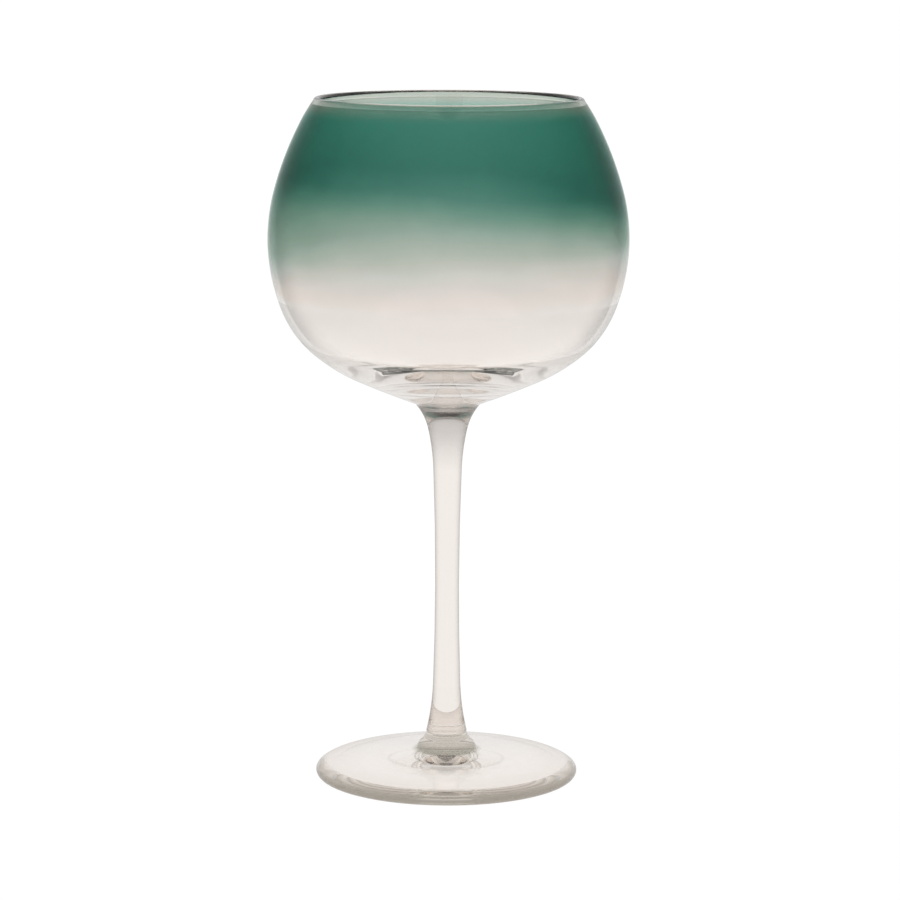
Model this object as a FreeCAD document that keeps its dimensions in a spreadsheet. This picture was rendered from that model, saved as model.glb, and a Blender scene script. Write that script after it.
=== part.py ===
"""A stemmed wine glass: blown bowl, drawn stem and pressed disc foot, and a green colour coat.

The three glass pieces are turned about the Z axis and fused hot at two flat joints. The coat is a
thin film on the outside of the bowl, from just under the rim to below the belly.
Millimetres, +Z up. The origin is on the axis, in the plane that the foot stands on.
"""
import FreeCAD, Part
import math
import os

import Sketcher

# Driving dimensions, each a cell of the sheet. A name that ends in _arc is the radius of an arc of
# the outline, the other radii are distances from the axis, and heights are above the table.
SIZES = {
    # bowl, outside, from its joint with the stem up to the rim
    "joint_radius": 9.8,
    "joint_height": 112.0,
    "base_top_height": 119.2,
    "cup_arc": 52.7,
    "cup_top_height": 126.5,
    "shoulder_arc": 32.6,
    "shoulder_top_height": 140.5,
    "belly_arc": 56.7,
    "belly_radius": 52.65,
    "belly_height": 160.0,
    "belly_top_height": 174.9,
    "wall_arc": 99.5,
    "rim_height": 201.15,
    # bowl, inside
    "wall_thickness": 1.8,
    "hollow_arc": 20.0,
    "floor_arc": 74.0,
    "floor_height": 117.6,
    # stem
    "seam_radius": 6.0,
    "seam_height": 13.1,
    "seam_groove": 0.25,
    "ankle_top_height": 28.0,
    "waist_arc": 883.0,
    "waist_radius": 3.54,
    "waist_height": 58.0,
    "waist_top_height": 92.5,
    "neck_arc": 65.0,
    "neck_top_height": 104.3,
    # foot
    "cove_radius": 7.0,
    "cove_height": 11.2,
    "boss_arc": 6.0,
    "boss_radius": 8.8,
    "boss_height": 8.3,
    "boss_fillet_arc": 0.8,
    "brim_arc": 8.0,
    "brim_end_height": 2.9,
    "foot_radius": 38.9,
    "foot_edge_arc": 1.6,
    "standing_inner_radius": 36.5,
    "under_rise": 3.2,
    # colour coat
    "coat_end_height": 143.0,
    "coat_top_height": 199.9,
    "coat_thickness": 0.2,
}
START, END, CENTRE = 1, 2, 3
AXIS, TABLE = -2, -1
ROUNDING = 1e-6


def make_sheet(document):
    """The spreadsheet that every dimension of the glass is bound to."""
    sheet = document.addObject("Spreadsheet::Sheet", "sizes")
    for row, (name, value) in enumerate(SIZES.items(), start=1):
        sheet.set(f"A{row}", name)
        sheet.set(f"B{row}", str(value))
        sheet.setAlias(f"B{row}", name)
    document.recompute()
    return sheet


class Circle:
    """A circle of the outline, which knows its points and the circles that touch it."""

    def __init__(self, centre, radius):
        self.centre = centre
        self.radius = radius

    def at_height(self, height, side=1):
        """The point at a height, on the side away from the axis, or towards it for side -1."""
        rise = height - self.centre[1]
        return (self.centre[0] + side * math.sqrt(self.radius**2 - rise**2), height)

    def under(self, point):
        """The point of this circle nearest to a point, on a ray from the centre."""
        gap = [p - c for p, c in zip(point, self.centre)]
        scale = self.radius / math.hypot(*gap)
        return tuple(c + g * scale for c, g in zip(self.centre, gap))

    def touching(self, joint, radius):
        """The circle of another radius that runs smoothly on from this one at the joint."""
        scale = radius / self.radius
        centre = [j + (c - j) * scale for j, c in zip(joint, self.centre)]
        return Circle(centre, abs(radius))

    def touching_through(self, joint, end):
        """The circle that runs smoothly on from this one at the joint and passes through the end."""
        normal = [(c - j) / self.radius for j, c in zip(joint, self.centre)]
        gap = [e - j for j, e in zip(joint, end)]
        reach = (gap[0] ** 2 + gap[1] ** 2) / (2 * (normal[0] * gap[0] + normal[1] * gap[1]))
        return Circle([j + n * reach for j, n in zip(joint, normal)], abs(reach))


class Outline:
    """The closed half section of one piece: lines and arcs end to end in a sketch on the XZ plane.

    Each call adds one edge from where the last one ended. The positions given are first guesses,
    and the constraints, whose values come from the sheet, settle them.
    """

    def __init__(self, document, label, start):
        self.body = document.addObject("PartDesign::Body", label)
        self.body.Label = label
        self.sketch = self.body.newObject("Sketcher::SketchObject", f"{label}_section")
        planes = self.body.Origin.OriginFeatures
        plane = next(feature for feature in planes if feature.Role == "XZ_Plane")
        self.sketch.AttachmentSupport = (plane, [""])
        self.sketch.MapMode = "FlatFace"
        self.at = start
        self.first_height = start[1]
        self.last = None

    def bind(self, kind, refs, expression, value):
        """A dimension whose value is an expression on the sheet's cells."""
        index = self.sketch.addConstraint(Sketcher.Constraint(kind, *refs, value))
        self.sketch.setExpression(f"Constraints[{index}]", expression)

    def hold(self, kind, *refs):
        """A geometric constraint with no value."""
        self.sketch.addConstraint(Sketcher.Constraint(kind, *refs))

    def follow(self, edge, smooth):
        """Joins an edge to the one before it, end to end, and smoothly where asked."""
        if self.last:
            self.hold("Tangent" if smooth else "Coincident", *self.last[1:], *edge[:2])
        self.last = (edge[0], edge[0], edge[2])
        return edge

    def line(self, end, smooth=False):
        """A straight edge. Returns its index with the positions of its first and last points."""
        points = [FreeCAD.Vector(*p, 0) for p in (self.at, end)]
        index = self.sketch.addGeometry(Part.LineSegment(*points), False)
        self.at = end
        return self.follow((index, START, END), smooth)

    def arc(self, circle, end, smooth=True):
        """The shorter arc of the circle to the end. A half circle is walked counter-clockwise."""
        angles = [
            math.atan2(p[1] - circle.centre[1], p[0] - circle.centre[0]) for p in (self.at, end)
        ]
        half = math.pi + ROUNDING
        turn = half - (half - angles[1] + angles[0]) % (2 * math.pi)
        ends = (START, END) if turn > 0 else (END, START)
        low = angles[0] if turn > 0 else angles[1]
        round_shape = Part.Circle(
            FreeCAD.Vector(*circle.centre, 0), FreeCAD.Vector(0, 0, 1), circle.radius
        )
        piece = Part.ArcOfCircle(round_shape, low, low + abs(turn))
        index = self.sketch.addGeometry(piece, False)
        self.at = end
        return self.follow((index, *ends), smooth)

    def radius(self, edge, expression, value):
        self.bind("Radius", (edge[0],), expression, value)

    def end_height(self, edge, expression):
        self.bind("DistanceY", (edge[0], edge[2]), expression, self.at[1])

    def end_radius(self, edge, expression):
        self.bind("DistanceX", (edge[0], edge[2]), expression, self.at[0])

    def turn_about_axis(self):
        """Checks that the section is fully held, and turns it into the piece's solid."""
        if self.sketch.solve() != 0 or not self.sketch.FullyConstrained:
            raise RuntimeError(f"{self.body.Label}: the section isn't fully held")
        turned = self.body.newObject("PartDesign::Revolution", f"{self.body.Label}_turned")
        turned.Profile = self.sketch
        turned.ReferenceAxis = (self.sketch, ["V_Axis"])
        turned.Angle = 360
        self.body.Placement = FreeCAD.Placement()
        return self.body


def belly_circle(d):
    """The arc at the widest part of the bowl. Its centre is level with the belly."""
    return Circle((d["belly_radius"] - d["belly_arc"], d["belly_height"]), d["belly_arc"])


def hold_belly(outline, edge):
    """Holds an edge to the belly's circle."""
    outline.radius(edge, "sizes.belly_arc", SIZES["belly_arc"])
    inset = SIZES["belly_arc"] - SIZES["belly_radius"]
    refs = (edge[0], CENTRE, TABLE, START)
    outline.bind("DistanceX", refs, "sizes.belly_arc - sizes.belly_radius", inset)
    outline.bind("DistanceY", (edge[0], CENTRE), "sizes.belly_height", SIZES["belly_height"])


def make_bowl(document, d):
    """The blown bowl: a wall of even thickness from the rim to the shoulder, and a thick base."""
    belly = belly_circle(d)
    belly_top = belly.at_height(d["belly_top_height"])
    wall = belly.touching(belly_top, d["wall_arc"])
    shoulder_top = belly.at_height(d["shoulder_top_height"])
    shoulder = belly.touching(shoulder_top, d["shoulder_arc"])
    cup_top = shoulder.at_height(d["cup_top_height"])
    cup = shoulder.touching(cup_top, d["cup_arc"])
    base_top = cup.at_height(d["base_top_height"])
    joint = (d["joint_radius"], d["joint_height"])
    base = cup.touching_through(base_top, joint)

    outline = Outline(document, "bowl", (0.0, d["joint_height"]))
    disc = outline.line(joint)
    outline.hold("PointOnObject", disc[0], START, AXIS)
    outline.hold("Horizontal", disc[0])
    outline.end_radius(disc, "sizes.joint_radius")
    outline.end_height(disc, "sizes.joint_height")
    edge = outline.arc(base, base_top, smooth=False)
    outline.end_height(edge, "sizes.base_top_height")
    edge = outline.arc(cup, cup_top)
    outline.radius(edge, "sizes.cup_arc", cup.radius)
    outline.end_height(edge, "sizes.cup_top_height")
    outer_shoulder = outline.arc(shoulder, shoulder_top)
    outline.radius(outer_shoulder, "sizes.shoulder_arc", shoulder.radius)
    outline.end_height(outer_shoulder, "sizes.shoulder_top_height")
    outer_belly = outline.arc(belly, belly_top)
    hold_belly(outline, outer_belly)
    outline.end_height(outer_belly, "sizes.belly_top_height")
    rim = wall.at_height(d["rim_height"])
    outer_wall = outline.arc(wall, rim)
    outline.radius(outer_wall, "sizes.wall_arc", wall.radius)
    outline.end_height(outer_wall, "sizes.rim_height")

    # The rim is a full round, and the wall inside it keeps the same centres as the wall outside.
    thick = d["wall_thickness"]
    inner_wall = Circle(wall.centre, wall.radius - thick)
    inner_belly = Circle(belly.centre, belly.radius - thick)
    inner_shoulder = Circle(shoulder.centre, shoulder.radius - thick)
    inner_rim = inner_wall.under(rim)
    middle = tuple((a + b) / 2 for a, b in zip(rim, inner_rim))
    lip = outline.arc(Circle(middle, thick / 2), inner_rim)
    outline.radius(lip, "sizes.wall_thickness / 2", thick / 2)
    edge = outline.arc(inner_wall, inner_belly.under(belly_top))
    outline.hold("Coincident", edge[0], CENTRE, outer_wall[0], CENTRE)
    edge = outline.arc(inner_belly, inner_shoulder.under(shoulder_top))
    outline.hold("Coincident", edge[0], CENTRE, outer_belly[0], CENTRE)

    # The hollow turns in from the shoulder to a floor that is round about the axis.
    floor = Circle((0.0, d["floor_height"] + d["floor_arc"]), d["floor_arc"])
    reach = (inner_shoulder.radius - d["hollow_arc"], floor.radius - d["hollow_arc"])
    turn = Circle(meeting(shoulder.centre, reach[0], floor.centre, reach[1]), d["hollow_arc"])
    touch = [
        tuple(t + (t - c) * turn.radius / r for t, c in zip(turn.centre, centre))
        for centre, r in zip((shoulder.centre, floor.centre), reach)
    ]
    edge = outline.arc(inner_shoulder, touch[0])
    outline.hold("Coincident", edge[0], CENTRE, outer_shoulder[0], CENTRE)
    edge = outline.arc(turn, touch[1])
    outline.radius(edge, "sizes.hollow_arc", turn.radius)
    edge = outline.arc(floor, (0.0, d["floor_height"]))
    outline.radius(edge, "sizes.floor_arc", floor.radius)
    outline.hold("PointOnObject", edge[0], CENTRE, AXIS)
    outline.hold("PointOnObject", edge[0], edge[2], AXIS)
    outline.end_height(edge, "sizes.floor_height")
    close_on_axis(outline, disc)
    return outline.turn_about_axis()


def meeting(first, first_reach, second, second_reach):
    """The point, out from the axis, at one reach from the first centre and another from the second."""
    gap = (second[0] - first[0], second[1] - first[1])
    span = math.hypot(*gap)
    along = (span**2 + first_reach**2 - second_reach**2) / (2 * span)
    across = math.sqrt(first_reach**2 - along**2)
    unit = (gap[0] / span, gap[1] / span)
    return (
        first[0] + unit[0] * along + unit[1] * across,
        first[1] + unit[1] * along - unit[0] * across,
    )


def close_on_axis(outline, first):
    """The last edge of a section, down the axis to where the first one starts."""
    edge = outline.line((0.0, outline.first_height))
    outline.hold("Coincident", edge[0], edge[2], first[0], first[1])


def make_stem(document, d):
    """The drawn stem: narrow at the waist, flared to the foot and wider still to the bowl."""
    waist = Circle((d["waist_radius"] + d["waist_arc"], d["waist_height"]), d["waist_arc"])
    ankle_top = waist.at_height(d["ankle_top_height"], side=-1)
    waist_top = waist.at_height(d["waist_top_height"], side=-1)
    groove = d["seam_groove"]
    ankle_start = (d["seam_radius"], d["seam_height"] + groove)
    ankle = waist.touching_through(ankle_top, ankle_start)
    neck = waist.touching(waist_top, d["neck_arc"])
    neck_top = neck.at_height(d["neck_top_height"], side=-1)
    joint = (d["joint_radius"], d["joint_height"])
    flare = neck.touching_through(neck_top, joint)

    outline = Outline(document, "stem", (0.0, d["seam_height"]))
    disc = outline.line((d["seam_radius"] - groove, d["seam_height"]))
    outline.hold("PointOnObject", disc[0], START, AXIS)
    outline.hold("Horizontal", disc[0])
    outline.end_radius(disc, "sizes.seam_radius - sizes.seam_groove")
    outline.end_height(disc, "sizes.seam_height")
    edge = outline.line(ankle_start)
    outline.end_radius(edge, "sizes.seam_radius")
    outline.end_height(edge, "sizes.seam_height + sizes.seam_groove")
    edge = outline.arc(ankle, ankle_top, smooth=False)
    outline.end_height(edge, "sizes.ankle_top_height")
    edge = outline.arc(waist, waist_top)
    outline.radius(edge, "sizes.waist_arc", waist.radius)
    outline.bind(
        "DistanceX", (edge[0], CENTRE), "sizes.waist_radius + sizes.waist_arc", waist.centre[0]
    )
    outline.bind("DistanceY", (edge[0], CENTRE), "sizes.waist_height", waist.centre[1])
    outline.end_height(edge, "sizes.waist_top_height")
    edge = outline.arc(neck, neck_top)
    outline.radius(edge, "sizes.neck_arc", neck.radius)
    outline.end_height(edge, "sizes.neck_top_height")
    edge = outline.arc(flare, joint)
    outline.end_radius(edge, "sizes.joint_radius")
    outline.end_height(edge, "sizes.joint_height")
    edge = outline.line((0.0, d["joint_height"]))
    outline.hold("Horizontal", edge[0])
    outline.hold("PointOnObject", edge[0], edge[2], AXIS)
    close_on_axis(outline, disc)
    return outline.turn_about_axis()


def make_foot(document, d):
    """The pressed foot: a boss under the stem, a gently falling top, and a hollow underside."""
    groove = d["seam_groove"]
    seam = (d["seam_radius"], d["seam_height"] - groove)
    cove_end = (d["cove_radius"], d["cove_height"])
    boss_end = (d["boss_radius"], d["boss_height"])
    middle = [(a + b) / 2 for a, b in zip(cove_end, boss_end)]
    chord = [b - a for a, b in zip(cove_end, boss_end)]
    half = math.hypot(*chord) / 2
    back = math.sqrt(d["boss_arc"] ** 2 - half**2) / (2 * half)
    boss = Circle((middle[0] + chord[1] * back, middle[1] - chord[0] * back), d["boss_arc"])
    cove = boss.touching_through(cove_end, seam)
    fillet = boss.touching(boss_end, -d["boss_fillet_arc"])
    round_edge = d["foot_edge_arc"]
    edge_circle = Circle((d["foot_radius"] - round_edge, round_edge), round_edge)
    brim_end = edge_circle.at_height(d["brim_end_height"])
    brim = edge_circle.touching(brim_end, d["brim_arc"])
    crown_ends = crossing_tangent(fillet, brim)

    outline = Outline(document, "foot", (0.0, d["under_rise"]))
    under_reach = d["standing_inner_radius"]
    under_arc = (under_reach**2 + d["under_rise"] ** 2) / (2 * d["under_rise"])
    under = Circle((0.0, d["under_rise"] - under_arc), under_arc)
    hollow = outline.arc(under, (under_reach, 0.0))
    outline.hold("PointOnObject", hollow[0], hollow[1], AXIS)
    outline.hold("PointOnObject", hollow[0], CENTRE, AXIS)
    outline.bind(
        "DistanceY", (hollow[0], hollow[1]), "sizes.under_rise", d["under_rise"]
    )
    outline.end_radius(hollow, "sizes.standing_inner_radius")
    outline.hold("PointOnObject", hollow[0], hollow[2], TABLE)
    edge = outline.line((edge_circle.centre[0], 0.0))
    outline.hold("PointOnObject", edge[0], edge[2], TABLE)
    edge = outline.arc(edge_circle, brim_end)
    outline.radius(edge, "sizes.foot_edge_arc", round_edge)
    outline.bind(
        "DistanceX",
        (edge[0], CENTRE),
        "sizes.foot_radius - sizes.foot_edge_arc",
        edge_circle.centre[0],
    )
    outline.end_height(edge, "sizes.brim_end_height")
    edge = outline.arc(brim, crown_ends[1])
    outline.radius(edge, "sizes.brim_arc", brim.radius)
    outline.line(crown_ends[0], smooth=True)
    edge = outline.arc(fillet, boss_end)
    outline.radius(edge, "sizes.boss_fillet_arc", fillet.radius)
    outline.end_radius(edge, "sizes.boss_radius")
    outline.end_height(edge, "sizes.boss_height")
    edge = outline.arc(boss, cove_end)
    outline.radius(edge, "sizes.boss_arc", boss.radius)
    outline.end_radius(edge, "sizes.cove_radius")
    outline.end_height(edge, "sizes.cove_height")
    edge = outline.arc(cove, seam)
    outline.end_radius(edge, "sizes.seam_radius")
    outline.end_height(edge, "sizes.seam_height - sizes.seam_groove")
    edge = outline.line((d["seam_radius"] - groove, d["seam_height"]))
    outline.end_radius(edge, "sizes.seam_radius - sizes.seam_groove")
    outline.end_height(edge, "sizes.seam_height")
    edge = outline.line((0.0, d["seam_height"]))
    outline.hold("Horizontal", edge[0])
    outline.hold("PointOnObject", edge[0], edge[2], AXIS)
    close_on_axis(outline, hollow)
    return outline.turn_about_axis()


def crossing_tangent(upper, lower):
    """Where the straight line that runs under one circle and over the other touches each."""
    gap = [b - a for a, b in zip(upper.centre, lower.centre)]
    span = math.hypot(*gap)
    tilt = math.atan2(gap[1], gap[0]) + math.asin((upper.radius + lower.radius) / span)
    normal = (-math.sin(tilt), math.cos(tilt))
    on_upper = tuple(c - n * upper.radius for c, n in zip(upper.centre, normal))
    on_lower = tuple(c + n * lower.radius for c, n in zip(lower.centre, normal))
    return on_upper, on_lower


def make_coat(document, d):
    """The sprayed colour: a film on the outside of the wall and belly, which fades out downwards."""
    film = d["coat_thickness"]
    belly = belly_circle(d)
    belly_top = belly.at_height(d["belly_top_height"])
    wall = belly.touching(belly_top, d["wall_arc"])
    outer_belly = Circle(belly.centre, belly.radius + film)
    outer_wall = Circle(wall.centre, wall.radius + film)
    scale = outer_belly.radius / belly.radius
    outer_turn = tuple(c + (p - c) * scale for p, c in zip(belly_top, belly.centre))

    outline = Outline(document, "ombre_coat", belly.at_height(d["coat_end_height"]))
    inner = outline.arc(belly, belly_top)
    hold_belly(outline, inner)
    outline.bind(
        "DistanceY", (inner[0], inner[1]), "sizes.coat_end_height", d["coat_end_height"]
    )
    outline.end_height(inner, "sizes.belly_top_height")
    under_wall = outline.arc(wall, wall.at_height(d["coat_top_height"]))
    outline.radius(under_wall, "sizes.wall_arc", wall.radius)
    outline.end_height(under_wall, "sizes.coat_top_height")
    edge = outline.line(outer_wall.at_height(d["coat_top_height"]))
    outline.hold("Horizontal", edge[0])
    edge = outline.arc(outer_wall, outer_turn, smooth=False)
    outline.radius(edge, "sizes.wall_arc + sizes.coat_thickness", outer_wall.radius)
    outline.hold("Coincident", edge[0], CENTRE, under_wall[0], CENTRE)
    edge = outline.arc(outer_belly, outer_belly.at_height(d["coat_end_height"]))
    outline.hold("Coincident", edge[0], CENTRE, inner[0], CENTRE)
    outline.end_height(edge, "sizes.coat_end_height")
    edge = outline.line(belly.at_height(d["coat_end_height"]))
    outline.hold("Coincident", edge[0], edge[2], inner[0], inner[1])
    return outline.turn_about_axis()


def check(document, pieces):
    """Stops with a plain message if anything failed quietly."""
    for item in document.Objects:
        if {"Invalid", "Error"} & set(item.State):
            raise RuntimeError(f"{item.Label} failed: {item.State}")
    for piece in pieces:
        shape = piece.Shape
        if shape.isNull() or not shape.isValid() or len(shape.Solids) != 1:
            raise RuntimeError(f"{piece.Label} isn't one sound solid")


def main():
    document = FreeCAD.newDocument("wine_glass")
    sheet = make_sheet(document)
    d = {name: float(sheet.get(name)) for name in SIZES}
    makers = (make_bowl, make_stem, make_foot, make_coat)
    pieces = [make(document, d) for make in makers]
    document.recompute()
    check(document, pieces)
    os.makedirs("parts", exist_ok=True)
    for piece in pieces:
        piece.Shape.exportStep(f"parts/{piece.Label}.step")
        box = piece.Shape.optimalBoundingBox()
        print(f"{piece.Label}: {piece.Shape.Volume:.0f} mm3, z {box.ZMin:.2f} to {box.ZMax:.2f}")


main()
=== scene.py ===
"""A stemmed wine glass: a blown bowl with a green coat that fades downwards, a drawn stem and a pressed foot.

Everything is turned about the Z axis. Each piece's outline is walked in millimetres, as tangent arcs and
lines in the plane of radius and height, and a Geometry Nodes tree revolves it into a closed mesh in metres.
"""

import math

import bmesh
import bpy
from mathutils import Matrix, Vector


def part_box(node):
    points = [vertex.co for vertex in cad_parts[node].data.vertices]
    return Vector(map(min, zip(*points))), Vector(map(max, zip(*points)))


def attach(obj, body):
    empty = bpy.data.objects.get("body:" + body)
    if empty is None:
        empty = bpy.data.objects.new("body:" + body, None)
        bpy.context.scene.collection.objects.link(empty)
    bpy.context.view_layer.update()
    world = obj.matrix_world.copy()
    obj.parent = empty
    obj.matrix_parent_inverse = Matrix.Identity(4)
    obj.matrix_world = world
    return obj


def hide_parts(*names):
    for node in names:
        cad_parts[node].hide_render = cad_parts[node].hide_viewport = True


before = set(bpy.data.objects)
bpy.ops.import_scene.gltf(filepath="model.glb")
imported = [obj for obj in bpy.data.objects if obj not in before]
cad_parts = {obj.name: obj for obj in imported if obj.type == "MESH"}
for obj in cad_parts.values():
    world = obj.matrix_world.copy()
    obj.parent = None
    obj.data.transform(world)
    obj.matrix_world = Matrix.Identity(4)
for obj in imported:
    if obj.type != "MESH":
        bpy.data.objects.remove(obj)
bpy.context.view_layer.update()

MM = 0.001
STEPS_ROUND = 256
ARC_STEP = math.radians(1.4)

# The bowl's outside, from its widest level up to the lip and down to the stem.
BELLY_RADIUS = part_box("bowl")[1].x / MM
BELLY_HEIGHT = 160.0
BELLY_ARC = 56.7
BELLY_TOP = 174.9
WALL_ARC = 99.5
RIM_HEIGHT = 201.15
SHOULDER_ARC = 32.6
SHOULDER_TOP = 140.5
CUP_ARC = 52.7
CUP_TOP = 126.5
BASE_TOP = 119.2
JOINT_RADIUS = 9.8
JOINT_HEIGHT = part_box("bowl")[0].z / MM
# The bowl's inside: the same curves one wall further in, then a turn and a dished floor.
WALL = 1.8
HOLLOW_ARC = 20.0
FLOOR_ARC = 74.0
FLOOR_HEIGHT = 117.6
# The stem, from the foot's boss up to the bowl.
SEAM_RADIUS = 6.0
SEAM_HEIGHT = 13.1
SEAM_GROOVE = 0.25
ANKLE_TOP = 28.0
WAIST_ARC = 883.0
WAIST_RADIUS = 3.54
WAIST_HEIGHT = 58.0
WAIST_TOP = 92.5
NECK_ARC = 65.0
NECK_TOP = 104.3
# The foot, from the ring it stands on up to the boss.
FOOT_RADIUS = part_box("foot")[1].x / MM
FOOT_EDGE_ARC = 1.6
STANDING_RADIUS = 36.5
UNDER_RISE = 3.2
BRIM_ARC = 8.0
BRIM_END = 2.9
FOOT_SLOPE = math.radians(7.68)
BOSS_RADIUS = 8.8
BOSS_HEIGHT = 8.3
BOSS_FILLET = 0.8
BOSS_ARC = 6.0
COVE_RADIUS = 7.0
COVE_HEIGHT = 11.2
# The coat, a film that stands a hair off the bowl's outside, so that no light is led along inside it.
COAT_END = 143.0
COAT_TOP = 199.9
# How far its outside and its inside lie from the glass, and its outside where it thins out.
COAT_OUTSIDE = 0.2
COAT_GAP = 0.015
COAT_EDGE = COAT_GAP * 2
# The steps of its outline over which it thins out, at its lower end and at its top.
COAT_END_STEPS = 12
COAT_TOP_STEPS = 2
# How far each piece of glass reaches past its joint into the next, so that no film of air shows there.
OVERLAP = 0.05
# WELD is in metres. EPSILON, in millimetres, covers the rounding of single-precision vectors.
WELD = 1e-7
EPSILON = 1e-3
SHARP = math.radians(30)

# Shades of one layer of lacquer at heights in millimetres, from its foggy lower end to the rim.
COAT_SHADES = ((143.0, "#FFFFFF"), (147.0, "#FBF9F7"), (151.0, "#F4F4F3"), (155.5, "#E8EEEC"),
               (160.0, "#D5E2DC"), (164.0, "#C9DAD3"), (168.0, "#B9D2CA"), (172.5, "#9BC3BA"),
               (177.0, "#7FB4AB"), (188.0, "#86BDB3"), (199.9, "#90C6BD"))
# How far the fade leans from side to side at each height: 0 and 1 are opposite ways, and 0.5 is level.
FADE_LEAN = ((143.0, 0.5), (150.0, 0.3), (157.0, 0.1), (171.0, 1.0), (180.0, 1.0), (190.0, 0.5))
# Tints of the foot at distances in millimetres from the axis: its own pale tint over the flat, and painted
# shade at the boss and the rounded edge.
FOOT_TINT_AND_SHADE = ((0.0, "#F3EEE9"), (7.6, "#EEE8E2"), (8.6, "#ACA89C"), (9.2, "#ACA89C"), (10.5, "#F6F1EC"),
               (24.0, "#F8F2ED"), (35.5, "#F1EAE4"), (37.5, "#D0C9C0"), (38.9, "#A8A298"))
# Tints by height: a faint grey over the upper bowl, the trace of overspray over the lip, and painted shade
# that greys the neck of the stem.
BOWL_HEIGHT_TINT = ((127.0, "#FFFFFF"), (132.0, "#FBFBFB"), (140.0, "#F3F3F3"), (199.5, "#F3F3F3"),
              (199.9, "#BAC6BE"), (201.6, "#BAC6BE"))
STEM_NECK_SHADE = ((92.0, "#FFFFFF"), (100.0, "#EBEBEB"), (108.0, "#D2D2D2"))
# Each wall's own tint face on and its painted shade turned away, how far round that turn begins, and the
# height of its ripples.
BOWL_TINT_AND_EDGE_SHADE = ("#FDF9F6", "#8E887C")
BOWL_TURN = 0.5
BOWL_RIPPLE = 0.004
STEM_TINT_AND_EDGE_SHADE = ("#F2ECE7", "#6E685C")
STEM_TURN = 0.12
STEM_RIPPLE = 0.012
FOOT_RIPPLE = 0.006
# A surface stands where its normal's upright share is below the first, and lies flat above the second.
STANDING = (0.6, 0.9)
EVEN_BLEND = 0.5
# Glass: how it bends light, its tint and the depth of that tint, and its ripples' spread in millimetres.
GLASS_IOR = 1.5
GLASS_DEPTH_TINT = "#D3C9BC"
GLASS_DENSITY = 4.0
RIPPLE_SPREAD = (25.0, 25.0, 4.0)
SOFT_DETAIL = 2.0
# The lacquer bends light less than a real one, which sticks to the glass and has no face of its own there.
LACQUER_IOR = 1.1
# The fade's slope and its soft clouds, in millimetres.
FADE_TILT = 0.06
CLOUD_SIZE = 25.0
CLOUD_DRIFT = 5.0
# The grain of the spray is drawn coarser than real spray, as coarse as it must be to show.
GRAIN_SIZE = 0.5
GRAIN_DRIFT = 1.0
GRAIN_DETAIL = 1.0
# How much deeper the lacquer looks at a slant, and the height from which it thins towards the rim.
SLANT_DEPTH = 1.1
THIN_FROM = 196.0
THIN_SHADE = "#C4CFC7"
# The table and its light, and below them the sky's grey at each height from the horizon up.
TABLE = 40.0
TABLE_CORNERS = 96
TABLE_GREY = 0.10
TABLE_GLOW = 0.97
# The share of that light that reaches the eye where it is only a gloss on a surface.
GLARE = 0.7
SKY = ((0.0, 1.0), (0.35, 1.0), (0.55, 0.8), (0.72, 0.6), (0.84, 0.5), (0.88, 0.02), (1.0, 0.02))
# The camera: millimetres of sensor and lens, metres of reach and place, and degrees down and round.
SENSOR_WIDTH = 36.0
LENS = 137.4
REACH = 200.0
CAMERA_PLACE = (0.0007, -1.0, 0.2593)
LOOK_DOWN = 9.167
ROLL = 0.25
# Light has to pass many faces of glass before it reaches the eye.
BOUNCES = 48


# ---- Outlines ----

class Outline:
    """A pen that walks an outline in millimetres: x is the radius, y is the height."""

    def __init__(self, start, heading=None):
        self.points = [Vector(start)]
        self.heading = heading

    @property
    def end(self):
        return self.points[-1]

    def line(self, x, y):
        """A straight run to a point."""
        self.heading = (Vector((x, y)) - self.end).normalized()
        self.points.append(Vector((x, y)))

    def about(self, centre, angle):
        """An arc about a centre, turned through an angle that is positive anticlockwise."""
        steps = max(2, math.ceil(abs(angle) / ARC_STEP))
        arm = self.end - centre
        for step in range(1, steps + 1):
            turned = arm.copy()
            turned.rotate(Matrix.Rotation(angle * step / steps, 2))
            self.points.append(centre + turned)
        self.heading = Vector(self.heading)
        self.heading.rotate(Matrix.Rotation(angle, 2))

    def centre(self, radius):
        """The centre of an arc that carries on smoothly: to the left for a positive radius."""
        left = Vector((-self.heading.y, self.heading.x))
        return self.end + left * radius

    def to_height(self, radius, height):
        """A smooth arc of a given radius, up or down to a height."""
        centre = self.centre(radius)
        side = -1 if self.end.x < centre.x - EPSILON else 1
        reach = height - centre.y
        target = centre + Vector((side * math.sqrt(radius ** 2 - reach ** 2), reach))
        self.about(centre, self.angle_to(centre, target))

    def to_slope(self, radius, slope):
        """A smooth arc of a given radius, until the heading has turned to a slope."""
        angle = slope - math.atan2(self.heading.y, self.heading.x)
        self.about(self.centre(radius), angle)

    def to_point(self, x, y):
        """The one smooth arc that ends at a point."""
        chord = Vector((x, y)) - self.end
        left = Vector((-self.heading.y, self.heading.x))
        radius = chord.length_squared / (2 * chord.dot(left))
        centre = self.centre(radius)
        self.about(centre, self.angle_to(centre, Vector((x, y))))

    def angle_to(self, centre, target):
        """How far an arc turns from the pen to a target, the short way round."""
        first = self.end - centre
        last = target - centre
        return math.atan2(first.x * last.y - first.y * last.x, first.dot(last))


def crossing(centre_a, radius_a, centre_b, radius_b, pick):
    """Where two circles cross: the spot with the larger value of pick."""
    span = centre_b - centre_a
    along = (span.length_squared + radius_a ** 2 - radius_b ** 2) / (2 * span.length)
    across = math.sqrt(radius_a ** 2 - along ** 2)
    direction = span.normalized()
    side = Vector((direction.y, -direction.x))
    spots = [centre_a + direction * along + side * across * sign for sign in (1, -1)]
    return max(spots, key=pick)


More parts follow.
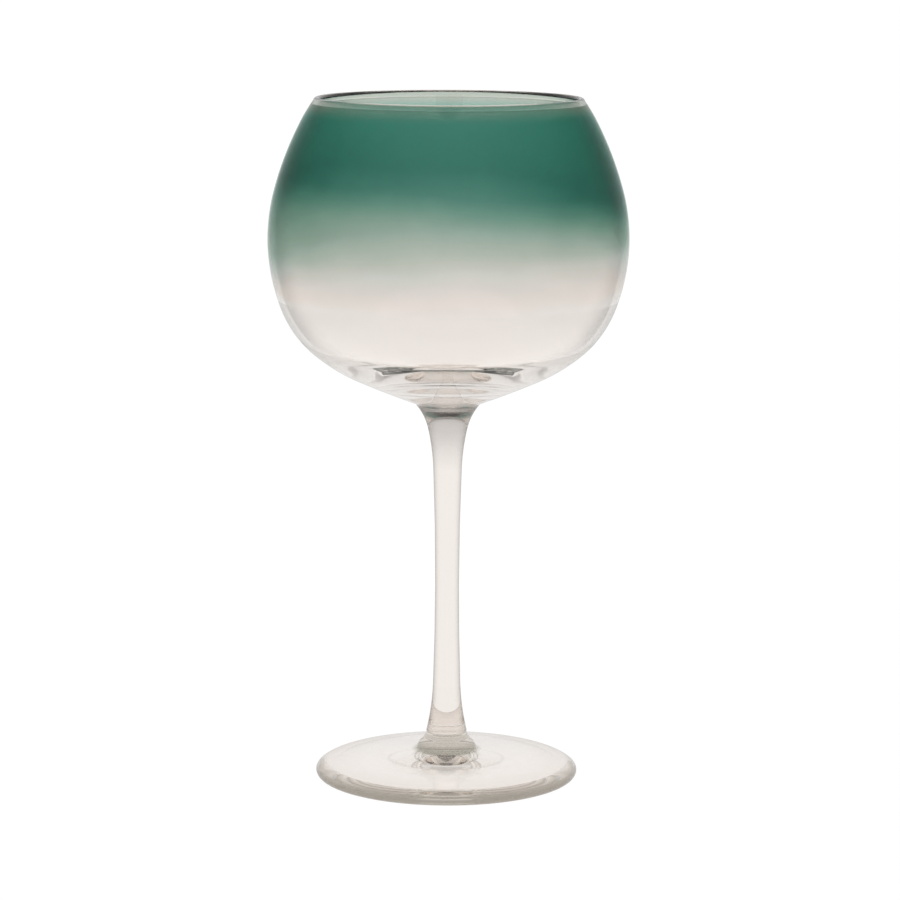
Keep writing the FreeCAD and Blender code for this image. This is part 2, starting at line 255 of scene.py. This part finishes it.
def bowl_outline():
    """Axis, up the outside, over the lip, and down the inside back to the axis."""
    down = Outline((BELLY_RADIUS, BELLY_HEIGHT), Vector((0, -1)))
    down.to_height(-BELLY_ARC, SHOULDER_TOP)
    down.to_height(-SHOULDER_ARC, CUP_TOP)
    down.to_height(-CUP_ARC, BASE_TOP)
    down.to_point(JOINT_RADIUS, JOINT_HEIGHT - OVERLAP)
    down.line(0, JOINT_HEIGHT - OVERLAP)
    up = Outline((BELLY_RADIUS, BELLY_HEIGHT), Vector((0, 1)))
    up.to_height(BELLY_ARC, BELLY_TOP)
    up.to_height(WALL_ARC, RIM_HEIGHT)
    lip = WALL / 2
    up.about(up.centre(lip), math.pi)
    belly = Vector((BELLY_RADIUS - BELLY_ARC, BELLY_HEIGHT))
    wall = onward(belly, on_belly(BELLY_TOP), WALL_ARC / BELLY_ARC)
    shoulder = onward(belly, on_belly(SHOULDER_TOP), SHOULDER_ARC / BELLY_ARC)
    floor = Vector((0, FLOOR_HEIGHT + FLOOR_ARC))
    inner_belly = BELLY_ARC - WALL
    inner_shoulder = SHOULDER_ARC - WALL
    bend = crossing(shoulder, inner_shoulder - HOLLOW_ARC, floor, FLOOR_ARC - HOLLOW_ARC, lambda spot: spot.x)
    up.about(wall, up.angle_to(wall, belly + (on_belly(BELLY_TOP) - belly) * (inner_belly / BELLY_ARC)))
    up.about(belly, up.angle_to(belly, belly + (on_belly(SHOULDER_TOP) - belly) * (inner_belly / BELLY_ARC)))
    up.about(shoulder, up.angle_to(shoulder, bend))
    up.about(bend, up.angle_to(bend, bend + bend - floor))
    up.about(floor, up.angle_to(floor, Vector((0, FLOOR_HEIGHT))))
    up.points[-1].x = 0
    return list(reversed(down.points)) + up.points[1:]


def on_belly(height):
    """The point of the belly's arc at a height."""
    reach = height - BELLY_HEIGHT
    return Vector((BELLY_RADIUS - BELLY_ARC + math.sqrt(BELLY_ARC ** 2 - reach ** 2), height))


def onward(centre, point, share):
    """The centre of an arc that carries on smoothly from one arc's end, with a share of its radius."""
    return point + (centre - point) * share


def stem_outline():
    """Axis, out under the seam, up the waist and the flare, and back to the axis at the bowl."""
    down = Outline((WAIST_RADIUS, WAIST_HEIGHT), Vector((0, -1)))
    down.to_height(WAIST_ARC, ANKLE_TOP)
    down.to_point(SEAM_RADIUS, SEAM_HEIGHT + SEAM_GROOVE)
    down.line(SEAM_RADIUS - SEAM_GROOVE, SEAM_HEIGHT - OVERLAP)
    down.line(0, SEAM_HEIGHT - OVERLAP)
    up = Outline((WAIST_RADIUS, WAIST_HEIGHT), Vector((0, 1)))
    up.to_height(-WAIST_ARC, WAIST_TOP)
    up.to_height(-NECK_ARC, NECK_TOP)
    up.to_point(JOINT_RADIUS, JOINT_HEIGHT + OVERLAP)
    up.line(0, JOINT_HEIGHT + OVERLAP)
    return list(reversed(down.points)) + up.points[1:]


def foot_outline():
    """Axis, out under the dome, round the edge, up the brim, the boss and the cove, back to the axis."""
    dome = (STANDING_RADIUS ** 2 + UNDER_RISE ** 2) / (2 * UNDER_RISE)
    under = Vector((0, UNDER_RISE - dome))
    foot = Outline((0, UNDER_RISE), Vector((1, 0)))
    foot.about(under, foot.angle_to(under, Vector((STANDING_RADIUS, 0))))
    foot.line(FOOT_RADIUS - FOOT_EDGE_ARC, 0)
    foot.to_height(FOOT_EDGE_ARC, BRIM_END)
    foot.to_slope(BRIM_ARC, math.pi - FOOT_SLOPE)
    collar = Vector((BOSS_RADIUS, BOSS_HEIGHT))
    shoulder = Vector((COVE_RADIUS, COVE_HEIGHT))
    boss = crossing(collar, BOSS_ARC, shoulder, BOSS_ARC, lambda spot: -spot.x)
    fillet = collar + (collar - boss).normalized() * BOSS_FILLET
    foot.line(fillet.x - BOSS_FILLET * math.sin(FOOT_SLOPE), fillet.y - BOSS_FILLET * math.cos(FOOT_SLOPE))
    foot.about(fillet, foot.angle_to(fillet, collar))
    foot.about(boss, foot.angle_to(boss, shoulder))
    foot.to_point(SEAM_RADIUS, SEAM_HEIGHT - SEAM_GROOVE)
    foot.line(SEAM_RADIUS - SEAM_GROOVE, SEAM_HEIGHT + OVERLAP)
    foot.line(0, SEAM_HEIGHT + OVERLAP)
    return foot.points


def coat_outline():
    """The film's outer face up to its top edge, then back down its inner face, just clear of the glass."""
    start = on_belly(COAT_END)
    out = (start - Vector((BELLY_RADIUS - BELLY_ARC, BELLY_HEIGHT))).normalized()
    up = Outline(start, Vector((-out.y, out.x)))
    up.to_height(BELLY_ARC, BELLY_TOP)
    up.to_height(WALL_ARC, COAT_TOP)
    outer = []
    inner = []
    total = len(up.points) - 1
    for index, point in enumerate(up.points):
        before = up.points[max(0, index - 1)]
        after = up.points[min(total, index + 1)]
        run = (after - before).normalized()
        out = Vector((run.y, -run.x))
        rise = min(1.0, index / COAT_END_STEPS, (total - index) / COAT_TOP_STEPS)
        outer.append(point + out * (COAT_EDGE + (COAT_OUTSIDE - COAT_EDGE) * rise))
        inner.append(point + out * COAT_GAP)
    return outer + list(reversed(inner)) + outer[:1]


# ---- Geometry Nodes: the lathe ----

def add_node(tree, kind, settings=None, links=None):
    """Adds a node, sets its properties and input values, and links its inputs from output sockets."""
    node = tree.nodes.new(kind)
    for name, value in (settings or {}).items():
        if isinstance(name, str) and hasattr(node, name) and name not in node.inputs:
            setattr(node, name, value)
        else:
            node.inputs[name].default_value = value
    for name, socket in (links or {}).items():
        tree.links.new(socket, node.inputs[name])
    return node


def lathe_tree():
    """A Geometry Nodes tree that revolves an outline, its vertices in order, round the Z axis."""
    tree = bpy.data.node_groups.new("lathe", "GeometryNodeTree")
    face = tree.interface
    face.new_socket("Outline", in_out="INPUT", socket_type="NodeSocketGeometry")
    face.new_socket("Steps Round", in_out="INPUT", socket_type="NodeSocketInt")
    face.new_socket("Weld Distance", in_out="INPUT", socket_type="NodeSocketFloat")
    face.new_socket("Material", in_out="INPUT", socket_type="NodeSocketMaterial")
    face.new_socket("Turned", in_out="OUTPUT", socket_type="NodeSocketGeometry")
    given = add_node(tree, "NodeGroupInput")
    size = add_node(tree, "GeometryNodeAttributeDomainSize", None, {"Geometry": given.outputs["Outline"]})
    rows = add_node(tree, "ShaderNodeMath", {"operation": "ADD", 1: 1.0}, {0: given.outputs["Steps Round"]})
    grid = add_node(tree, "GeometryNodeMeshGrid", None,
                    {"Vertices X": size.outputs["Point Count"], "Vertices Y": rows.outputs[0]})
    index = add_node(tree, "GeometryNodeInputIndex")
    ratio = add_node(tree, "ShaderNodeMath", {"operation": "DIVIDE"},
                     {0: index.outputs[0], 1: rows.outputs[0]})
    column = add_node(tree, "ShaderNodeMath", {"operation": "FLOOR"}, {0: ratio.outputs[0]})
    step = add_node(tree, "ShaderNodeMath", {"operation": "MODULO"},
                    {0: index.outputs[0], 1: rows.outputs[0]})
    part = add_node(tree, "ShaderNodeMath", {"operation": "DIVIDE"},
                    {0: step.outputs[0], 1: given.outputs["Steps Round"]})
    angle = add_node(tree, "ShaderNodeMath", {"operation": "MULTIPLY", 1: math.tau}, {0: part.outputs[0]})
    place = add_node(tree, "GeometryNodeInputPosition")
    walked = add_node(tree, "GeometryNodeSampleIndex", {"data_type": "FLOAT_VECTOR"},
                      {"Geometry": given.outputs["Outline"], "Value": place.outputs[0],
                       "Index": column.outputs[0]})
    turned = add_node(tree, "ShaderNodeVectorRotate", {"rotation_type": "Z_AXIS"},
                      {"Vector": walked.outputs["Value"], "Angle": angle.outputs[0]})
    moved = add_node(tree, "GeometryNodeSetPosition", None,
                     {"Geometry": grid.outputs["Mesh"], "Position": turned.outputs[0]})
    welded = add_node(tree, "GeometryNodeMergeByDistance", None,
                      {"Geometry": moved.outputs[0], "Distance": given.outputs["Weld Distance"]})
    smooth = add_node(tree, "GeometryNodeSetShadeSmooth", None, {"Geometry": welded.outputs[0]})
    real = add_node(tree, "GeometryNodeRealizeInstances", None, {"Geometry": smooth.outputs[0]})
    finished = add_node(tree, "GeometryNodeSetMaterial", None,
                        {"Geometry": real.outputs[0], "Material": given.outputs["Material"]})
    add_node(tree, "NodeGroupOutput", None, {"Turned": finished.outputs[0]})
    return tree


def turn(name, outline, material, tree):
    """Revolves an outline into a closed mesh whose faces point outwards."""
    line = bpy.data.meshes.new(name + "_outline")
    corners = [(point[0] * MM, 0.0, point[1] * MM) for point in outline]
    line.from_pydata(corners, [(i, i + 1) for i in range(len(corners) - 1)], [])
    maker = bpy.data.objects.new(name + "_maker", line)
    bpy.context.scene.collection.objects.link(maker)
    lathe = maker.modifiers.new("lathe", "NODES")
    lathe.node_group = tree
    values = {"Steps Round": STEPS_ROUND, "Weld Distance": WELD, "Material": material}
    for socket in tree.interface.items_tree:
        if socket.name in values:
            lathe[socket.identifier] = values[socket.name]
    bpy.context.view_layer.update()
    mesh = bpy.data.meshes.new_from_object(maker.evaluated_get(bpy.context.evaluated_depsgraph_get()))
    bpy.data.objects.remove(maker)
    mesh.name = name
    work = bmesh.new()
    work.from_mesh(mesh)
    bmesh.ops.recalc_face_normals(work, faces=work.faces)
    for edge in work.edges:
        edge.smooth = edge.calc_face_angle(0) < SHARP
    work.to_mesh(mesh)
    work.free()
    piece = bpy.data.objects.new(name, mesh)
    bpy.context.scene.collection.objects.link(piece)
    return piece


# ---- Materials ----

def hex_colour(code):
    """An sRGB hex colour, turned linear."""
    channels = [int(code[i:i + 2], 16) / 255 for i in (1, 3, 5)]
    linear = [c / 12.92 if c <= 0.04045 else ((c + 0.055) / 1.055) ** 2.4 for c in channels]
    return (*linear, 1.0)


def shade_ramp(tree, value, shades):
    """A colour ramp with a stop for each share and colour in shades."""
    ramp = add_node(tree, "ShaderNodeValToRGB", None, {0: value})
    band = ramp.color_ramp
    while len(band.elements) < len(shades):
        band.elements.new(0.5)
    # All the places come before the colours, because the ramp keeps its stops in order.
    for element, (share, _) in zip(band.elements, shades):
        element.position = share
    for element, (_, colour) in zip(band.elements, shades):
        element.color = colour
    return ramp


def wall_tint_and_shade(tree, place, shades, turn_start, height_tint_and_shade):
    """Nearly clear face on, with painted tan grey shade where a standing wall turns away from the eye.

    shades are the tint face on and the painted shade at the turn, and turn_start is how far round the turn
    begins.
    The last argument holds the wall's further colour at each height in millimetres, which on the stem is
    painted shade over its neck.
    """
    normal = add_node(tree, "ShaderNodeNewGeometry")
    tilt = add_node(tree, "ShaderNodeSeparateXYZ", None, {0: normal.outputs["Normal"]})
    lying = add_node(tree, "ShaderNodeMath", {"operation": "ABSOLUTE"}, {0: tilt.outputs["Z"]})
    standing = add_node(tree, "ShaderNodeMapRange",
                        {"interpolation_type": "SMOOTHSTEP", "From Min": STANDING[0], "From Max": STANDING[1],
                         "To Min": 1.0, "To Max": 0.0},
                        {"Value": lying.outputs[0]})
    facing = add_node(tree, "ShaderNodeLayerWeight", {"Blend": EVEN_BLEND})
    turned = add_node(tree, "ShaderNodeMapRange",
                      {"interpolation_type": "SMOOTHSTEP", "From Min": turn_start, "From Max": 1.0},
                      {"Value": facing.outputs["Facing"]})
    # Painted shade: the wall is darkened towards its turned-away sides.
    edge_shade = add_node(tree, "ShaderNodeMath", {"operation": "MULTIPLY"},
                    {0: turned.outputs[0], 1: standing.outputs[0]})
    tint = add_node(tree, "ShaderNodeMix",
                    {"data_type": "RGBA", 6: hex_colour(shades[0]), 7: hex_colour(shades[1])},
                    {0: edge_shade.outputs[0]})
    # By height: painted shade over the stem's neck; on the bowl a faint grey and the coat's trace over the
    # lip.
    low, high = height_tint_and_shade[0][0], height_tint_and_shade[-1][0]
    height = add_node(tree, "ShaderNodeSeparateXYZ", None, {0: place.outputs["Object"]})
    share = add_node(tree, "ShaderNodeMapRange", {"From Min": low * MM, "From Max": high * MM},
                     {"Value": height.outputs["Z"]})
    levels = [((level - low) / (high - low), hex_colour(code)) for level, code in height_tint_and_shade]
    height_ramp = shade_ramp(tree, share.outputs[0], levels)
    tinted_and_shaded = add_node(tree, "ShaderNodeMix", {"data_type": "RGBA", "blend_type": "MULTIPLY"},
                      {0: standing.outputs[0], 6: tint.outputs[2], 7: height_ramp.outputs[0]})
    return tinted_and_shaded.outputs[2]


def foot_tint_and_shade(tree, place):
    """Clear over the flat of the foot, with painted shade in the boss and in the rounded edge."""
    flat = add_node(tree, "ShaderNodeMapping", {"Scale": (1.0, 1.0, 0.0)}, {0: place.outputs["Object"]})
    reach = add_node(tree, "ShaderNodeVectorMath", {"operation": "LENGTH"}, {0: flat.outputs[0]})
    share = add_node(tree, "ShaderNodeMapRange", {"From Max": FOOT_RADIUS * MM},
                     {"Value": reach.outputs["Value"]})
    # Painted shade: the grey stops at the boss and at the edge.
    shades = [(radius / FOOT_RADIUS, hex_colour(code)) for radius, code in FOOT_TINT_AND_SHADE]
    return shade_ramp(tree, share.outputs[0], shades).outputs[0]


def glass(name, ripple, tint_and_shade_of, *tint_sizes):
    """Clear soda-lime glass: a hard gloss, a bend of the light, and grey where the light runs far inside.

    ripple is the height of the faint rings that working the hot glass leaves, and the function after it makes
    its tint, with painted shade in it.
    """
    material = bpy.data.materials.new(name)
    material.use_nodes = True
    tree = material.node_tree
    tree.nodes.clear()
    place = add_node(tree, "ShaderNodeTexCoord")
    tint = tint_and_shade_of(tree, place, *tint_sizes)
    spread = [1 / (size * MM) for size in RIPPLE_SPREAD]
    stretched = add_node(tree, "ShaderNodeMapping", {"Scale": spread}, {0: place.outputs["Object"]})
    rings = add_node(tree, "ShaderNodeTexNoise", {"Scale": 1.0, "Detail": SOFT_DETAIL},
                     {"Vector": stretched.outputs[0]})
    relief = add_node(tree, "ShaderNodeBump", {"Strength": 1.0, "Distance": ripple * MM},
                      {"Height": rings.outputs[0]})
    surface = add_node(tree, "ShaderNodeBsdfPrincipled",
                       {"Roughness": 0.0, "IOR": GLASS_IOR, "Transmission Weight": 1.0},
                       {"Base Color": tint, "Normal": relief.outputs[0]})
    inside = add_node(tree, "ShaderNodeVolumeAbsorption",
                      {"Color": hex_colour(GLASS_DEPTH_TINT), "Density": GLASS_DENSITY})
    add_node(tree, "ShaderNodeOutputMaterial", None,
             {"Surface": surface.outputs[0], "Volume": inside.outputs[0]})
    return material


def coat_material():
    """Sprayed green lacquer, baked on: it is deep near the rim and fades to nothing down the belly."""
    material = bpy.data.materials.new("sprayed_green_lacquer")
    material.use_nodes = True
    tree = material.node_tree
    tree.nodes.clear()
    place = add_node(tree, "ShaderNodeTexCoord")
    spot = add_node(tree, "ShaderNodeSeparateXYZ", None, {0: place.outputs["Object"]})
    level = add_node(tree, "ShaderNodeMapRange", {"From Min": COAT_END * MM, "From Max": COAT_TOP * MM},
                     {"Value": spot.outputs["Z"]})
    leans = [((height - COAT_END) / (COAT_TOP - COAT_END), (lean, lean, lean, 1.0))
             for height, lean in FADE_LEAN]
    lean = shade_ramp(tree, level.outputs[0], leans)
    tilt = add_node(tree, "ShaderNodeMapRange", {"To Min": -FADE_TILT, "To Max": FADE_TILT},
                    {"Value": lean.outputs[0]})
    tilted = add_node(tree, "ShaderNodeMath", {"operation": "MULTIPLY_ADD"},
                      {0: spot.outputs["X"], 1: tilt.outputs[0], 2: spot.outputs["Z"]})
    cloud = add_node(tree, "ShaderNodeTexNoise", {"Scale": 1 / (CLOUD_SIZE * MM), "Detail": SOFT_DETAIL},
                     {"Vector": place.outputs["Object"]})
    grain = add_node(tree, "ShaderNodeTexNoise", {"Scale": 1 / (GRAIN_SIZE * MM), "Detail": GRAIN_DETAIL},
                     {"Vector": place.outputs["Object"]})
    drifted = add_node(tree, "ShaderNodeMath", {"operation": "MULTIPLY_ADD", 1: CLOUD_DRIFT * MM},
                       {0: cloud.outputs[0], 2: tilted.outputs[0]})
    speckled = add_node(tree, "ShaderNodeMath", {"operation": "MULTIPLY_ADD", 1: GRAIN_DRIFT * MM},
                        {0: grain.outputs[0], 2: drifted.outputs[0]})
    middle = (CLOUD_DRIFT + GRAIN_DRIFT) / 2
    low, high = (COAT_END + middle) * MM, (COAT_TOP + middle) * MM
    rise = add_node(tree, "ShaderNodeMapRange", {"From Min": low, "From Max": high},
                    {"Value": speckled.outputs[0]})
    shades = [((height - COAT_END) / (COAT_TOP - COAT_END), hex_colour(code))
              for height, code in COAT_SHADES]
    ramp = shade_ramp(tree, rise.outputs[0], shades)
    thinning = add_node(tree, "ShaderNodeMapRange",
                        {"interpolation_type": "SMOOTHSTEP", "From Min": THIN_FROM * MM,
                         "From Max": COAT_TOP * MM},
                        {"Value": spot.outputs["Z"]})
    thinned = add_node(tree, "ShaderNodeMix", {"data_type": "RGBA", 7: hex_colour(THIN_SHADE)},
                       {0: thinning.outputs[0], 6: ramp.outputs[0]})
    facing = add_node(tree, "ShaderNodeLayerWeight", {"Blend": EVEN_BLEND})
    depth = add_node(tree, "ShaderNodeMath", {"operation": "MULTIPLY_ADD", 1: SLANT_DEPTH, 2: 1.0},
                     {0: facing.outputs["Facing"]})
    deeper = add_node(tree, "ShaderNodeGamma", None, {"Color": thinned.outputs[2], "Gamma": depth.outputs[0]})
    surface = add_node(tree, "ShaderNodeBsdfPrincipled",
                       {"Roughness": 0.0, "IOR": LACQUER_IOR, "Transmission Weight": 1.0},
                       {"Base Color": deeper.outputs[0]})
    add_node(tree, "ShaderNodeOutputMaterial", None, {"Surface": surface.outputs[0]})
    return material


# ---- Stage ----

def dimmed(tree, strength):
    """A light's strength, cut down where it is only seen as a gloss, as a polarising filter does."""
    path = add_node(tree, "ShaderNodeLightPath")
    gloss = add_node(tree, "ShaderNodeMath", {"operation": "SUBTRACT"},
                     {0: path.outputs["Is Glossy Ray"], 1: path.outputs["Is Transmission Ray"]})
    cut = add_node(tree, "ShaderNodeMapRange", {"To Min": strength, "To Max": strength * GLARE},
                   {"Value": gloss.outputs[0]})
    return cut.outputs[0]


def stage():
    """A wide pale table that glows evenly, under a sky that is pale at the horizon and dimmer overhead."""
    mesh = bpy.data.meshes.new("floor")
    spots = [math.tau * i / TABLE_CORNERS for i in range(TABLE_CORNERS)]
    corners = [(TABLE * math.cos(a), TABLE * math.sin(a), 0.0) for a in spots]
    mesh.from_pydata(corners, [], [tuple(range(TABLE_CORNERS))])
    floor = bpy.data.objects.new("floor", mesh)
    bpy.context.scene.collection.objects.link(floor)
    # A sheet lit evenly from below: it has no edge or shading, and whatever stands on it glows.
    material = bpy.data.materials.new("pale_light_table")
    material.use_nodes = True
    tree = material.node_tree
    tree.nodes.clear()
    matt = add_node(tree, "ShaderNodeBsdfDiffuse", {"Color": (TABLE_GREY, TABLE_GREY, TABLE_GREY, 1)})
    glow = add_node(tree, "ShaderNodeEmission", {"Color": (1, 1, 1, 1)},
                    {"Strength": dimmed(tree, TABLE_GLOW)})
    both = add_node(tree, "ShaderNodeAddShader", None, {0: matt.outputs[0], 1: glow.outputs[0]})
    add_node(tree, "ShaderNodeOutputMaterial", None, {"Surface": both.outputs[0]})
    mesh.materials.append(material)
    world = bpy.data.worlds.new("studio")
    bpy.context.scene.world = world
    world.use_nodes = True
    tree = world.node_tree
    tree.nodes.clear()
    place = add_node(tree, "ShaderNodeTexCoord")
    height = add_node(tree, "ShaderNodeSeparateXYZ", None, {0: place.outputs["Generated"]})
    ramp = shade_ramp(tree, height.outputs["Z"], [(level, (grey, grey, grey, 1.0)) for level, grey in SKY])
    sky = add_node(tree, "ShaderNodeBackground", None,
                   {"Color": ramp.outputs[0], "Strength": dimmed(tree, 1.0)})
    add_node(tree, "ShaderNodeOutputWorld", None, {"Surface": sky.outputs[0]})


def camera():
    """A long lens one metre off, a little above the rim and looking down."""
    data = bpy.data.cameras.new("camera")
    data.sensor_width = SENSOR_WIDTH
    data.lens = LENS
    data.clip_end = REACH
    seat = bpy.data.objects.new("camera", data)
    bpy.context.scene.collection.objects.link(seat)
    pitch = Matrix.Rotation(math.radians(90 - LOOK_DOWN), 3, "X")
    roll = Matrix.Rotation(math.radians(ROLL), 3, "Z")
    seat.matrix_world = Matrix.Translation(CAMERA_PLACE) @ (pitch @ roll).to_4x4()
    bpy.context.scene.camera = seat


# ---- Assembly ----

def main():
    tree = lathe_tree()
    # Blown thin and even, so it is nearly clear, with painted tan grey shade only at its far left and right.
    bowl_glass = glass("blown_soda_lime_glass", BOWL_RIPPLE, wall_tint_and_shade, BOWL_TINT_AND_EDGE_SHADE, BOWL_TURN, BOWL_HEIGHT_TINT)
    # Drawn as a solid rod from a gather of its own, with rings round it; painted grey shade lies over most of
    # its width and over its neck.
    stem_glass = glass("drawn_soda_lime_glass", STEM_RIPPLE, wall_tint_and_shade, STEM_TINT_AND_EDGE_SHADE, STEM_TURN, STEM_NECK_SHADE)
    # Pressed in a mould as a flat disc, so it is clear over its flat, with painted grey shade at its boss and
    # its edge.
    foot_glass = glass("pressed_soda_lime_glass", FOOT_RIPPLE, foot_tint_and_shade)
    lacquer = coat_material()
    pieces = (("blown_bowl", "bowl", bowl_outline(), bowl_glass, "clear_glass"),
              ("drawn_stem", "stem", stem_outline(), stem_glass, "clear_glass"),
              ("pressed_foot", "foot", foot_outline(), foot_glass, "clear_glass"),
              ("green_coat_film", "ombre_coat", coat_outline(), lacquer, "green_coat"))
    for name, node, outline, material, slot in pieces:
        piece = turn(name, outline, material, tree)
        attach(piece, "root")
        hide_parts(node)
    stage()
    camera()
    look = bpy.context.scene
    look.view_settings.view_transform = "Standard"
    look.cycles.max_bounces = BOUNCES
    look.cycles.transmission_bounces = BOUNCES
    look.cycles.glossy_bounces = BOUNCES
    look.cycles.transparent_max_bounces = BOUNCES


main()
